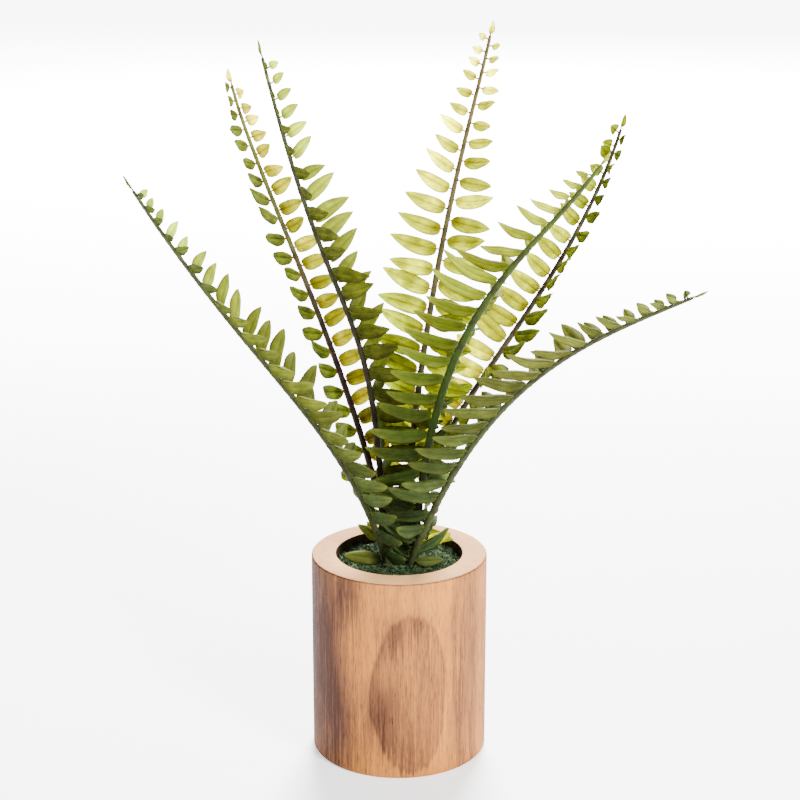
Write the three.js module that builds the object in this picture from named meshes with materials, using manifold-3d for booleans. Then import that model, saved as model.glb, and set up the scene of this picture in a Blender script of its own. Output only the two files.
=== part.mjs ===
// Fern in a turned wooden pot: a cylinder of wood with a blind bore, a foam plug in the bore, a bed of moss on the
// plug, and seven pinnate fronds whose stalks stand in plain holes through the moss and into the plug.
// Millimetres, +Z up, origin at the centre of the pot's flat base, viewer on the -Y side.
import * as THREE from "three";
import { mergeVertices } from "three/addons/utils/BufferGeometryUtils.js";
import Module from "manifold-3d";

const wasm = await Module();
wasm.setup();

// Pot
const POT_RADIUS = 45;
const POT_HEIGHT = 106;
const BORE_RADIUS = 32.3;
const BORE_FLOOR = 16;
const RIM_ROUND = 0.8;
const FOOT_ROUND = 1.6;
const POT_SIDES = 52;

// What fills the bore
const SEAT_GAP = 0.3;
const FILL_SIDES = 32;
const PLUG_TOP = 93;
const MOSS_TOP = 99.5;
const MOSS_RELIEF = 1.3;
const MOSS_RINGS = 5;
const HOLE_CLEARANCE = 0.45;
const HOLE_SIDES = 8;
const STALK_FOOT = 66;
const HOLE_FOOT = 65;

// Fronds: what every frond shares
const ROOT_RING = 8;
const ROOT_HEIGHT = 100;
const RACHIS_ROOT_RADIUS = 1.75;
const RACHIS_TIP_RADIUS = 0.55;
const RACHIS_SIDES = 5;
const RACHIS_STEPS = 18;
const CURVE_STEPS = 64;
const FIRST_LEAFLET = 11;
const BARE_STALK = 6;
const TIP_SPACING = 5.8;
const FULL_SPACING = 10.8;
const SPACING_REACH = 52;
const TIP_LEAFLET = 4.8;
const ROOT_FADE_REACH = 60;
const ROOT_FADE = 0.15;
const END_LEAFLET_LENGTH = 9;
const END_LEAFLET_WIDTH = 3.6;

// Leaflets: length and width in mm, bends as shares of the length
const WIDTH_BASE = 2.5;
const WIDTH_SHARE = 0.25;
const BROAD_LENGTH = 25;
const STALK_LENGTH = 2.6;
const STALK_HALF = 0.5;
const KEEL = 1.05;
const SHARP = 0.95;
const BLUNT_SPEED = 1.6;
const BLADE_STATIONS = [0, 0.1, 0.42, 0.78];
const SMALL_BLADE_STATIONS = [0, 0.25, 0.65];
const SMALL_BLADE = 19;
const SPREAD = { length: 0.16, angle: 10, fold: 12, curl: 0.5, hook: 0.5 };

// How leaflets keep clear of each other: distances between sample points, and the changes tried in turn
const CLEAR_OTHER = 2.6;
const CLEAR_OWN = 1.3;
const CLEAR_RACHIS = 3;
const MOSS_CLEARANCE = 102.5;
const RIM_CLEARANCE = 107.5;
const RIM_REACH = 30.5;
const PROBE_STATIONS = [0.06, 0.16, 0.27, 0.38, 0.49, 0.6, 0.71, 0.82, 0.92, 1];
const PROBE_SHARES = [-1, -0.5, 0, 0.5, 1];
const SCALE_TRIES = [1, 0.85, 0.7, 0.55, 0.42];
const FOLD_TRIES = [0, 12, -12, 24, -24, 36, -36];
const ANGLE_TRIES = [0, -14, 14, -28];
const CELL = 4;

// Each frond rises from rootAzimuth on the root ring and ends at reach and height in the plane of azimuth. Leans are
// measured from the vertical, and holds are the curve's handles as shares of the span. rows gives the two rows of
// leaflets as [fold above the side direction at the tip, the same at the root, angle from the rachis at the tip, the
// same at the root, twist about the midrib], in degrees. growth is a leaflet's length per mm from the tip, up to leaf.
// point is how sharply the blades near the root end: 1 is acute and 0.5 is blunt. stout is how much thicker than the
// others a frond's rachis gets at its middle, as a share. broad is how much wider than the others' the smallest
// leaflets are, in mm: it fades out at BROAD_LENGTH.
const FRONDS = [
  { name: "frond_left_low", azimuth: 200, rootAzimuth: 226, reach: 136, height: 310, rootLean: 15.5, rootHold: 0.34,
    tipLean: 30.5, tipHold: 0.49, rows: [[14, 12, 100, 100, 0], [58, 20, 74, 80, 0]], leaf: 25,
    growth: 0.17, curl: 0.2, hook: 0.12, point: 0.6, seed: 11 },
  { name: "frond_right_low", azimuth: -41, rootAzimuth: -54, reach: 178, height: 272, rootLean: 23, rootHold: 0.51,
    tipLean: 62, tipHold: 0.3, rows: [[46, 16, 136, 108, 0], [22, 18, 118, 106, 6]], leaf: 27,
    growth: 0.21, curl: 0.4, hook: 0.2, point: 0.6, seed: 17 },
  { name: "frond_left_tall", azimuth: 175, rootAzimuth: 152, reach: 68, height: 366, rootLean: 2, rootHold: 0.58,
    tipLean: 13, tipHold: 0.62, rows: [[5, 93, 98, 96, 0], [62, -6, 80, 76, 0]], leaf: 25,
    growth: 0.2, curl: 0.2, hook: 0.12, point: 0.85, seed: 13 },
  { name: "frond_right_front", azimuth: -41, rootAzimuth: -8, reach: 124, height: 327, rootLean: 3, rootHold: 0.57,
    tipLean: 35, tipHold: 0.27, rows: [[20, 14, 128, 112, 0], [34, 30, 112, 106, 15]], leaf: 28,
    growth: 0.27, curl: 0.6, hook: 0.15, point: 0.6, seed: 15, stout: 0.3 },
  { name: "frond_left_back", azimuth: 132, rootAzimuth: 115, reach: 135, height: 340, rootLean: 17, rootHold: 0.41,
    tipLean: 15.5, tipHold: 0.19, rows: [[6, 14, 80, 80, 0], [-2, 0, 80, 84, 0]], leaf: 18,
    growth: 0.165, curl: 0.3, hook: 0.1, point: 0.5, seed: 12, broad: 3 },
  { name: "frond_right_back", azimuth: 40, rootAzimuth: 27, reach: 157, height: 316, rootLean: -6, rootHold: 0.29,
    tipLean: 20.5, tipHold: 0.42, rows: [[10, 10, 74, 72, 0], [16, 26, 98, 96, 0]], leaf: 28,
    growth: 0.18, curl: 0.3, hook: 0.1, point: 0.5, seed: 16, broad: 3 },
  { name: "frond_back_tall", azimuth: 66, rootAzimuth: 74, reach: 122, height: 364, rootLean: 7, rootHold: 0.53,
    tipLean: 20, tipHold: 0.12, rows: [[8, 8, 80, 82, 0], [2, 2, 98, 100, 0]], leaf: 28,
    growth: 0.18, curl: 0.3, hook: 0.2, point: 0.85, seed: 14 },
];

// Large leaflets low on the stalks, that lie out over the moss: height on the rachis above the moss, direction, tilt
// above the horizontal, roll about the midrib, and length.
const BASAL_LEAFLETS = [
  { frond: "frond_left_low", up: 4.5, azimuth: 190, tilt: 14, roll: -42, size: 22 },
  { frond: "frond_right_low", up: 4.5, azimuth: -20, tilt: 8, roll: 40, size: 17 },
  { frond: "frond_right_back", up: 8, azimuth: 6, tilt: 16, roll: 42, size: 21 },
  { frond: "frond_left_back", up: 6, azimuth: 176, tilt: 52, roll: -30, size: 18 },
  { frond: "frond_left_tall", up: 10, azimuth: 182, tilt: 30, roll: -35, size: 18 },
  { frond: "frond_back_tall", up: 6, azimuth: 40, tilt: 26, roll: 40, size: 18 },
];

const finish = (color, roughness) => new THREE.MeshStandardMaterial({ color, roughness, metalness: 0 });
const WOOD = finish(0xc79a72, 0.75);
const FOAM = finish(0x4a5a3c, 0.95);
const MOSS = finish(0x2f4a33, 1);
const LIT_LEAF = finish(0xb8b545, 0.55);
const DEEP_LEAF = finish(0x71833a, 0.55);
const LIT_FRONDS = ["frond_left_back", "frond_back_tall", "frond_right_back"];

const vec = (x, y, z) => new THREE.Vector3(x, y, z);
const rad = THREE.MathUtils.degToRad;
const mix = (a, b, share) => a + (b - a) * share;
// a + b * k, as a new vector
const along = (a, b, k) => a.clone().addScaledVector(b, k);
const around = (radius, degrees, z) => vec(radius * Math.cos(rad(degrees)), radius * Math.sin(rad(degrees)), z);
const leaning = (lean, azimuth) => around(Math.sin(rad(lean)), azimuth, Math.cos(rad(lean)));

// A repeatable number from -0.5 to 0.5 for one draw of a seed.
function draw(seed, index) {
  const x = Math.sin(seed * 127.1 + index * 311.7) * 43758.5453;
  return x - Math.floor(x) - 0.5;
}

// A geometry as a solid for joins and cuts.
function solidOf(geometry) {
  const bare = new THREE.BufferGeometry().setAttribute("position", geometry.getAttribute("position"));
  bare.setIndex(geometry.index);
  const merged = mergeVertices(bare, 1e-4);
  const vertProperties = merged.attributes.position.array;
  const triVerts = new Uint32Array(merged.index.array);
  return new wasm.Manifold(new wasm.Mesh({ numProp: 3, vertProperties, triVerts }));
}

function geometryOf(solid) {
  const mesh = solid.getMesh();
  const geometry = new THREE.BufferGeometry();
  geometry.setAttribute("position", new THREE.BufferAttribute(new Float32Array(mesh.vertProperties), 3));
  geometry.setIndex(new THREE.BufferAttribute(new Uint32Array(mesh.triVerts), 1));
  geometry.computeVertexNormals();
  return geometry;
}

// A closed skin over rings of equally many points, from the first ring to the last, each ring counterclockwise as seen
// from the last one. tip closes the far end in a point, and without it the last ring is capped.
function skin(rings, tip) {
  const sides = rings[0].length;
  const points = rings.flat().concat(tip ? [tip] : []);
  const faces = [];
  for (let i = 2; i < sides; i++) faces.push(0, i, i - 1);
  for (let r = 0; r + 1 < rings.length; r++)
    for (let i = 0; i < sides; i++) {
      const a = r * sides + i;
      const b = r * sides + ((i + 1) % sides);
      faces.push(a, b, b + sides, a, b + sides, a + sides);
    }
  const last = (rings.length - 1) * sides;
  if (tip) for (let i = 0; i < sides; i++) faces.push(last + i, last + ((i + 1) % sides), points.length - 1);
  else for (let i = 2; i < sides; i++) faces.push(last, last + i - 1, last + i);
  return new THREE.BufferGeometry().setFromPoints(points).setIndex(faces);
}

// The pot's section: flat base, eased foot and rim edges, straight wall and blind bore.
function potGeometry() {
  const profile = [
    [0, 0],
    [POT_RADIUS - FOOT_ROUND, 0],
    [POT_RADIUS - FOOT_ROUND * 0.3, FOOT_ROUND * 0.3],
    [POT_RADIUS, FOOT_ROUND],
    [POT_RADIUS, POT_HEIGHT - RIM_ROUND],
    [POT_RADIUS - RIM_ROUND, POT_HEIGHT],
    [BORE_RADIUS + RIM_ROUND, POT_HEIGHT],
    [BORE_RADIUS, POT_HEIGHT - RIM_ROUND],
    [BORE_RADIUS, BORE_FLOOR],
    [0, BORE_FLOOR],
  ];
  return new THREE.LatheGeometry(profile.map(([r, z]) => new THREE.Vector2(r, z)), POT_SIDES).rotateX(Math.PI / 2);
}

// One upright hole for each stalk, as one cutter between two heights.
function stalkHoles(low, high) {
  const radius = (RACHIS_ROOT_RADIUS + HOLE_CLEARANCE) / Math.cos(Math.PI / HOLE_SIDES);
  return FRONDS.map((frond) => {
    const hole = new THREE.CylinderGeometry(radius, radius, high - low, HOLE_SIDES).rotateX(Math.PI / 2);
    const { x, y, z } = around(ROOT_RING, frond.rootAzimuth, (low + high) / 2);
    return solidOf(hole.translate(x, y, z));
  }).reduce((all, hole) => all.add(hole));
}

function plugGeometry() {
  const low = BORE_FLOOR + SEAT_GAP;
  const disc = new THREE.CylinderGeometry(BORE_RADIUS - SEAT_GAP, BORE_RADIUS - SEAT_GAP, PLUG_TOP - low, FILL_SIDES);
  disc.rotateX(Math.PI / 2).translate(0, 0, (low + PLUG_TOP) / 2);
  return geometryOf(solidOf(disc).subtract(stalkHoles(HOLE_FOOT, POT_HEIGHT)));
}

// The moss bed's lumpy top, from three crossed waves.
function mossHeight(x, y) {
  const lumps = Math.sin(x * 0.42 + 1) * Math.cos(y * 0.37) + Math.sin((x + y) * 0.29 + 2) + Math.cos((x - y) * 0.53);
  return MOSS_TOP + (MOSS_RELIEF * lumps) / 3;
}

function mossGeometry() {
  const radius = BORE_RADIUS - SEAT_GAP;
  const low = PLUG_TOP + SEAT_GAP;
  const ring = (r, height) =>
    Array.from({ length: FILL_SIDES }, (_, i) => {
      const p = around(r, (360 * i) / FILL_SIDES, 0);
      return p.setZ(height(p.x, p.y));
    });
  const rings = [ring(radius, () => low)];
  for (let k = MOSS_RINGS; k > 0; k--) rings.push(ring((radius * k) / MOSS_RINGS, mossHeight));
  const bed = skin(rings, vec(0, 0, mossHeight(0, 0)));
  return geometryOf(solidOf(bed).subtract(stalkHoles(BORE_FLOOR, POT_HEIGHT)));
}

// The line of a frond's rachis above the moss, with its length, and its frame at a distance from the tip.
function rachisLine(frond) {
  const root = around(ROOT_RING, frond.rootAzimuth, ROOT_HEIGHT);
  const tip = around(frond.reach, frond.azimuth, frond.height);
  const span = root.distanceTo(tip);
  const curve = new THREE.CubicBezierCurve3(
    root,
    along(root, leaning(frond.rootLean, frond.azimuth), span * frond.rootHold),
    along(tip, leaning(frond.tipLean, frond.azimuth), -span * frond.tipHold),
    tip,
  );
  curve.arcLengthDivisions = CURVE_STEPS;
  const length = curve.getLength();
  const side = around(1, frond.azimuth + 90, 0);
  // point, tangent, upper-face normal and side direction
  const frameAt = (fromTip) => {
    const t = curve.getUtoTmapping(1 - fromTip / length);
    const tangent = curve.getTangent(t);
    const normal = tangent.clone().cross(side);
    return { point: curve.getPoint(t), tangent, normal, side };
  };
  return { frond, length, frameAt };
}

function rachisRadius(frond, share) {
  const swell = 1 + (frond.stout ?? 0) * Math.sin(Math.PI * share);
  return swell * mix(RACHIS_TIP_RADIUS, RACHIS_ROOT_RADIUS, Math.sqrt(share));
}

// The tapered rachis from the foot of its stalk, deep in the plug, to the end leaflet.
function rachisSkin(line) {
  const { frond, length, frameAt } = line;
  const ringAt = (centre, across, up, radius) =>
    Array.from({ length: RACHIS_SIDES }, (_, i) => {
      const turn = (2 * Math.PI * i) / RACHIS_SIDES;
      return along(along(centre, across, radius * Math.cos(turn)), up, radius * Math.sin(turn));
    });
  const { side } = frameAt(length);
  const inward = around(-1, frond.azimuth, 0);
  const foot = around(ROOT_RING, frond.rootAzimuth, STALK_FOOT);
  const top = around(ROOT_RING, frond.rootAzimuth, ROOT_HEIGHT);
  const rings = [foot, top].map((p) => ringAt(p, side, inward, RACHIS_ROOT_RADIUS));
  for (let k = 1; k <= RACHIS_STEPS; k++) {
    const fromTip = mix(length, END_LEAFLET_LENGTH, k / RACHIS_STEPS);
    const { point, normal } = frameAt(fromTip);
    rings.push(ringAt(point, side, normal, rachisRadius(frond, fromTip / length)));
  }
  return skin(rings);
}

// One leaflet's placement: its foot on the rachis, its direction, its edge direction towards the tip, its upper normal
// and its bends. change holds what is tried to keep it clear of the others.
function leafletAt(line, fromTip, hand, index, change) {
  const { frond, length } = line;
  const { point, tangent, normal, side } = line.frameAt(fromTip);
  const vary = (kind) => draw(frond.seed, index * 7 + kind);
  const [tipFold, rootFold, tipAngle, rootAngle, twist] = frond.rows[hand > 0 ? 0 : 1];
  const share = fromTip / length;
  const fold = mix(tipFold, rootFold, share);
  const angle = mix(tipAngle, rootAngle, share);
  const rootFade = 1 - ROOT_FADE * Math.max(0, 1 - (length - fromTip) / ROOT_FADE_REACH);
  const full = Math.min(frond.leaf, TIP_LEAFLET + frond.growth * fromTip);
  const size = full * (1 + SPREAD.length * vary(0)) * rootFade * change.scale;
  const extra = (frond.broad ?? 0) * Math.max(0, 1 - size / BROAD_LENGTH);
  const a = rad(angle + SPREAD.angle * vary(1) + change.angle);
  const f = rad(fold + SPREAD.fold * vary(2) + change.fold);
  const w = rad(twist);
  const out = along(side.clone().multiplyScalar(hand * Math.cos(f)), normal, Math.sin(f));
  const edge = along(tangent.clone().multiplyScalar(Math.sin(a)), out, -Math.cos(a));
  const upper = along(normal.clone().multiplyScalar(Math.cos(f)), side, -hand * Math.sin(f));
  return {
    size,
    width: WIDTH_BASE + WIDTH_SHARE * size + extra,
    foot: point,
    heading: along(out.clone().multiplyScalar(Math.sin(a)), tangent, Math.cos(a)),
    edge: along(edge.clone().multiplyScalar(Math.cos(w)), upper, -Math.sin(w)),
    upper: along(upper.clone().multiplyScalar(Math.cos(w)), edge, Math.sin(w)),
    curl: frond.curl + SPREAD.curl * vary(3),
    hook: frond.hook + SPREAD.hook * vary(4),
    point: mix(SHARP, frond.point, Math.min(1, share * BLUNT_SPEED)),
  };
}

// Point on the leaflet's midrib at v, from 0 at the foot to 1 at the tip.
function midrib(leaf, v) {
  const bend = (leaf.size * v * v) / 2;
  const straight = along(leaf.foot, leaf.heading, leaf.size * v);
  return along(along(straight, leaf.upper, leaf.curl * bend), leaf.edge, leaf.hook * bend);
}

// Where share b of the blade lies along the leaflet, past its stalk.
const bladeAt = (leaf, b) => mix(STALK_LENGTH / leaf.size, 1, b);

// Half the blade's width at share b: a rounded foot and a pointed tip.
const halfWidth = (leaf, b) =>
  Math.max(STALK_HALF * (1 - b), 0.7 * leaf.width * b ** 0.25 * (1 - b ** 2.2) ** leaf.point);

// Rings of three points: the two edges and the keel of the underside.
function leafletSkin(leaf) {
  const turnsBack = leaf.edge.clone().cross(leaf.upper).dot(leaf.heading) > 0;
  const ringAt = (v, half, keel) => {
    const centre = midrib(leaf, v);
    const ring = [along(centre, leaf.edge, half), along(centre, leaf.edge, -half), along(centre, leaf.upper, -keel)];
    return turnsBack ? ring : ring.reverse();
  };
  const stations = leaf.size < SMALL_BLADE ? SMALL_BLADE_STATIONS : BLADE_STATIONS;
  const rings = [ringAt(0, STALK_HALF, KEEL * 0.8)];
  for (const b of stations) rings.push(ringAt(bladeAt(leaf, b), halfWidth(leaf, b), KEEL));
  return skin(rings, midrib(leaf, 1));
}

// The upright leaflet that ends a frond.
function endLeafletSkin(line) {
  const { point, tangent, normal, side } = line.frameAt(END_LEAFLET_LENGTH);
  const ringAt = (share, half) => {
    const centre = along(point, tangent, END_LEAFLET_LENGTH * share);
    return [along(centre, side, -half), along(centre, normal, -KEEL), along(centre, side, half)];
  };
  const half = END_LEAFLET_WIDTH / 2;
  const rings = [ringAt(-0.25, RACHIS_TIP_RADIUS), ringAt(0.1, half * 0.7), ringAt(0.5, half)];
  return skin(rings, along(point, tangent, END_LEAFLET_LENGTH));
}

// Points placed so far, in cells, so that near ones are found fast.
const cells = new Map();
const cellKey = (x, y, z) => `${x},${y},${z}`;
const cellOf = (value) => Math.floor(value / CELL);

function remember(points, owner, kind) {
  for (const p of points) {
    const key = cellKey(cellOf(p.x), cellOf(p.y), cellOf(p.z));
    if (!cells.has(key)) cells.set(key, []);
    cells.get(key).push({ p, owner, kind });
  }
}

// The least distance that a leaflet's point keeps from a placed point.
function needed(placed, owner) {
  if (placed.kind === "rachis") return placed.owner === owner ? 0 : CLEAR_RACHIS;
  return placed.owner === owner ? CLEAR_OWN : CLEAR_OTHER;
}

function isClear(points, owner) {
  for (const p of points) {
    const ground = Math.hypot(p.x, p.y) > RIM_REACH ? RIM_CLEARANCE : MOSS_CLEARANCE;
    if (p.z < ground) return false;
    for (let i = -1; i <= 1; i++)
      for (let j = -1; j <= 1; j++)
        for (let k = -1; k <= 1; k++) {
          const cell = cells.get(cellKey(cellOf(p.x) + i, cellOf(p.y) + j, cellOf(p.z) + k)) || [];
          if (cell.some((placed) => placed.p.distanceTo(p) < needed(placed, owner))) return false;
        }
  }
  return true;
}

function probePoints(leaf) {
  return PROBE_STATIONS.flatMap((b) => {
    const centre = midrib(leaf, bladeAt(leaf, b));
    return PROBE_SHARES.map((share) => along(centre, leaf.edge, halfWidth(leaf, b) * share));
  });
}

// The first of the changes that keeps the leaflet clear, or nothing where none does. shape makes it with a change.
function placedLeaflet(owner, shape) {
  for (const scale of SCALE_TRIES)
    for (const fold of FOLD_TRIES)
      for (const angle of ANGLE_TRIES) {
        const leaf = shape({ scale, fold, angle });
        const points = probePoints(leaf);
        if (isClear(points, owner)) {
          remember(points, owner, "leaflet");
          return [leaf];
        }
      }
  return [];
}

function basalLeaflet(line, { up, azimuth, tilt, roll, size }, change) {
  const { point } = line.frameAt(line.length - up);
  const heading = leaning(90 - tilt - change.fold / 2, azimuth + change.angle);
  const across = around(1, azimuth + change.angle + 90, 0);
  const lift = heading.clone().cross(across).multiplyScalar(Math.sin(rad(roll)));
  const edge = along(lift, across, Math.cos(rad(roll)));
  const upper = heading.clone().cross(edge);
  const width = WIDTH_BASE + WIDTH_SHARE * size;
  return { size: size * change.scale, width, foot: point, heading, edge, upper, curl: -0.1, hook: 0.1, point: 0.75 };
}

// Leaflets of one frond, left and right in turn, from the tip down.
function leafletsOf(line) {
  const leaves = [];
  let fromTip = FIRST_LEAFLET;
  for (let index = 0; fromTip < line.length - BARE_STALK; index++) {
    const [place, hand] = [fromTip, index % 2 ? -1 : 1];
    leaves.push(...placedLeaflet(line.frond.name, (change) => leafletAt(line, place, hand, index, change)));
    fromTip += mix(TIP_SPACING, FULL_SPACING, Math.min(1, fromTip / SPACING_REACH)) / 2;
  }
  return leaves;
}

function frondGeometry(line, leaves) {
  const stem = solidOf(rachisSkin(line)).add(solidOf(endLeafletSkin(line)));
  return geometryOf(leaves.reduce((whole, leaf) => whole.add(solidOf(leafletSkin(leaf))), stem));
}

const fern = new THREE.Group();

function addPiece(name, geometry, material) {
  const piece = new THREE.Mesh(geometry, material);
  piece.name = name;
  fern.add(piece);
}

addPiece("pot", potGeometry(), WOOD);
addPiece("foam_plug", plugGeometry(), FOAM);
addPiece("moss_bed", mossGeometry(), MOSS);

const lines = FRONDS.map(rachisLine);
for (const line of lines) {
  const points = [];
  for (let fromTip = 0; fromTip <= line.length; fromTip += CELL / 2) points.push(line.frameAt(fromTip).point);
  remember(points, line.frond.name, "rachis");
}
const basal = new Map(lines.map((line) => [line.frond.name, []]));
for (const leaflet of BASAL_LEAFLETS) {
  const line = lines.find((one) => one.frond.name === leaflet.frond);
  basal.get(leaflet.frond).push(...placedLeaflet(leaflet.frond, (change) => basalLeaflet(line, leaflet, change)));
}
for (const line of lines) {
  const { name } = line.frond;
  const geometry = frondGeometry(line, [...basal.get(name), ...leafletsOf(line)]);
  addPiece(name, geometry, LIT_FRONDS.includes(name) ? LIT_LEAF : DEEP_LEAF);
}

export default fern;
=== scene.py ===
# Looks of the potted fern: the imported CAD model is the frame, and finer pieces stand for its nodes.
# Shapes are worked out in millimetres by the same rules as the CAD source, and meshes are made in metres.
import math
import random

import bpy
import numpy as np
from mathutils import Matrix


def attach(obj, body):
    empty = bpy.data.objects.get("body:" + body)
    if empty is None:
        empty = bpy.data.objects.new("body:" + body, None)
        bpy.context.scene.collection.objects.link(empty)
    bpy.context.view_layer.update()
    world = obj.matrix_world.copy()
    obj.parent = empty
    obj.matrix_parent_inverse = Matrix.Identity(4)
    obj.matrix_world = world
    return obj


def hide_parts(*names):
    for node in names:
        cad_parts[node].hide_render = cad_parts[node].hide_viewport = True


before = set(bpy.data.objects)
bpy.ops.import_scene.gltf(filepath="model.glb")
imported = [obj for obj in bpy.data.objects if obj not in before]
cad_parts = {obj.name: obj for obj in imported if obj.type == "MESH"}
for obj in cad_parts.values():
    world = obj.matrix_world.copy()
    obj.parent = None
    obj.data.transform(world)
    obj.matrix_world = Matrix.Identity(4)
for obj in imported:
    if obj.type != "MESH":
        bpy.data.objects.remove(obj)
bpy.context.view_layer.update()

MM = 0.001

# Pot: its size, its eased edges, the depths of the rings in its bore, and the wear of its outer rim edge
POT_RADIUS = 45
POT_HEIGHT = 106
BORE_RADIUS = 32.3
BORE_FLOOR = 16
POT_SEGMENTS = 192
WALL_STEPS = 24
FOOT_EASE = 1.6
RIM_EASE = 1
LIP_EASE = 0.5
EASE_STEPS = 5
BORE_RINGS = (4, 10, 40)
AXIS_GAP = 0.01
WEAR = 0.16
WEAR_DEPTH = 1.2
WEAR_REACH = 0.9
WEAR_WAVES = (23, 41, 67)

# Moss bed and the fibres on it: how far from the axis they start and reach, and their own shape
MOSS_TOP = 99.5
MOSS_RELIEF = 1.3
FIBRES_PER_PIECE = 4400
FIBRE_STEPS = 6
FIBRE_SIDES = 3
FIBRE_START_REACH = 31.2
FIBRE_REACH = 31.4
FIBRE_CURL = 1.1
FIBRE_RISE = (0.3, 3.2)
FIBRE_THICK = (0.14, 0.30)
FIBRE_STEP = (0.8, 1.6)
FIBRE_TAPER = 0.7
FIBRE_SINK = 0.4
FIBRE_SHAKE = 0.2
FIBRE_STRAY = 0.5
# Each piece of fibres: its seed, and its dark and its light colour
FIBRE_PIECES = {
    "moss_dark": (21, (0.004, 0.010, 0.006), (0.026, 0.050, 0.022)),
    "moss_light": (22, (0.009, 0.022, 0.011), (0.105, 0.165, 0.065)),
}

# Fronds: what every frond shares
ROOT_RING = 8
ROOT_HEIGHT = 100
STALK_FOOT = 66
RACHIS_ROOT_RADIUS = 1.75
RACHIS_TIP_RADIUS = 0.55
CURVE_STEPS = 64
TANGENT_STEP = 0.0001
FIRST_LEAFLET = 11
BARE_STALK = 6
TIP_SPACING = 5.8
FULL_SPACING = 10.8
SPACING_REACH = 52
TIP_LEAFLET = 4.8
ROOT_FADE_REACH = 60
ROOT_FADE = 0.15
END_LEAFLET_LENGTH = 9
END_LEAFLET_WIDTH = 3.6

# Leaflets: length and width in mm, bends as shares of the length, and powers of the blade's outline
WIDTH_BASE = 2.5
WIDTH_SHARE = 0.25
BROAD_LENGTH = 25
STALK_LENGTH = 2.6
STALK_HALF = 0.5
BLADE_FULLNESS = 0.7
FOOT_POWER = 0.25
TIP_POWER = 2.2
SHARP = 0.95
BLUNT_SPEED = 1.6
SPREAD = {"length": 0.16, "angle": 10, "fold": 12, "curl": 0.5, "hook": 0.5}

# Leaflets outside the rows, low on the stalks and at the fronds' ends: what each kind shares, and how far
# an end one's foot lies back on the rachis
BASAL_SHAPE = dict(curl=-0.1, hook=0.1, point=0.75, tone=0.5, age=0.66)
END_SHAPE = dict(curl=0.05, hook=0, point=SHARP, tone=0, index=3, reach=0)
END_OVERLAP = 1

# Repeatable draws
SEED_STEP = 127.1
INDEX_STEP = 311.7
DRAW_STRETCH = 43758.5453
DRAWS_PER_LEAFLET = 7
TONE_DRAW = 5

# How leaflets keep clear of each other: distances between sample points, and the changes tried in turn
CLEAR_OTHER = 2.6
CLEAR_OWN = 1.3
CLEAR_RACHIS = 3
MOSS_CLEARANCE = 102.5
RIM_CLEARANCE = 107.5
RIM_REACH = 30.5
PROBE_STATIONS = (0.06, 0.16, 0.27, 0.38, 0.49, 0.6, 0.71, 0.82, 0.92, 1)
PROBE_SHARES = (-1, -0.5, 0, 0.5, 1)
SCALE_TRIES = (1, 0.85, 0.7, 0.55, 0.42)
FOLD_TRIES = (0, 12, -12, 24, -24, 36, -36)
ANGLE_TRIES = (0, -14, 14, -28)
RACHIS_PROBE = 2
RACHIS_GROUP = 10

# Each frond's line and rows of leaflets, as in the CAD source. A row holds its fold at the frond's tip and
# root, its angle from the rachis at the tip and root, and its leaflets' twist
FRONDS = [
    dict(name="frond_left_low", azimuth=200, root_azimuth=226, reach=136, height=310,
         root_lean=15.5, root_hold=0.34, tip_lean=30.5, tip_hold=0.49,
         rows=((14, 12, 100, 100, 0), (58, 20, 74, 80, 0)),
         leaf=25, growth=0.17, curl=0.2, hook=0.12, point=0.6, seed=11),
    dict(name="frond_right_low", azimuth=-41, root_azimuth=-54, reach=178, height=272,
         root_lean=23, root_hold=0.51, tip_lean=62, tip_hold=0.3,
         rows=((46, 16, 136, 108, 0), (22, 18, 118, 106, 6)),
         leaf=27, growth=0.21, curl=0.4, hook=0.2, point=0.6, seed=17),
    dict(name="frond_left_tall", azimuth=175, root_azimuth=152, reach=68, height=366,
         root_lean=2, root_hold=0.58, tip_lean=13, tip_hold=0.62,
         rows=((5, 93, 98, 96, 0), (62, -6, 80, 76, 0)),
         leaf=25, growth=0.2, curl=0.2, hook=0.12, point=0.85, seed=13),
    dict(name="frond_right_front", azimuth=-41, root_azimuth=-8, reach=124, height=327,
         root_lean=3, root_hold=0.57, tip_lean=35, tip_hold=0.27,
         rows=((20, 14, 128, 112, 0), (34, 30, 112, 106, 15)),
         leaf=28, growth=0.27, curl=0.6, hook=0.15, point=0.6, seed=15, stout=0.3),
    dict(name="frond_left_back", azimuth=132, root_azimuth=115, reach=135, height=340,
         root_lean=17, root_hold=0.41, tip_lean=15.5, tip_hold=0.19,
         rows=((6, 14, 80, 80, 0), (-2, 0, 80, 84, 0)),
         leaf=18, growth=0.165, curl=0.3, hook=0.1, point=0.5, seed=12, broad=3),
    dict(name="frond_right_back", azimuth=40, root_azimuth=27, reach=157, height=316,
         root_lean=-6, root_hold=0.29, tip_lean=20.5, tip_hold=0.42,
         rows=((10, 10, 74, 72, 0), (16, 26, 98, 96, 0)),
         leaf=28, growth=0.18, curl=0.3, hook=0.1, point=0.5, seed=16, broad=3),
    dict(name="frond_back_tall", azimuth=66, root_azimuth=74, reach=122, height=364,
         root_lean=7, root_hold=0.53, tip_lean=20, tip_hold=0.12,
         rows=((8, 8, 80, 82, 0), (2, 2, 98, 100, 0)),
         leaf=28, growth=0.18, curl=0.3, hook=0.2, point=0.85, seed=14),
]

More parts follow.
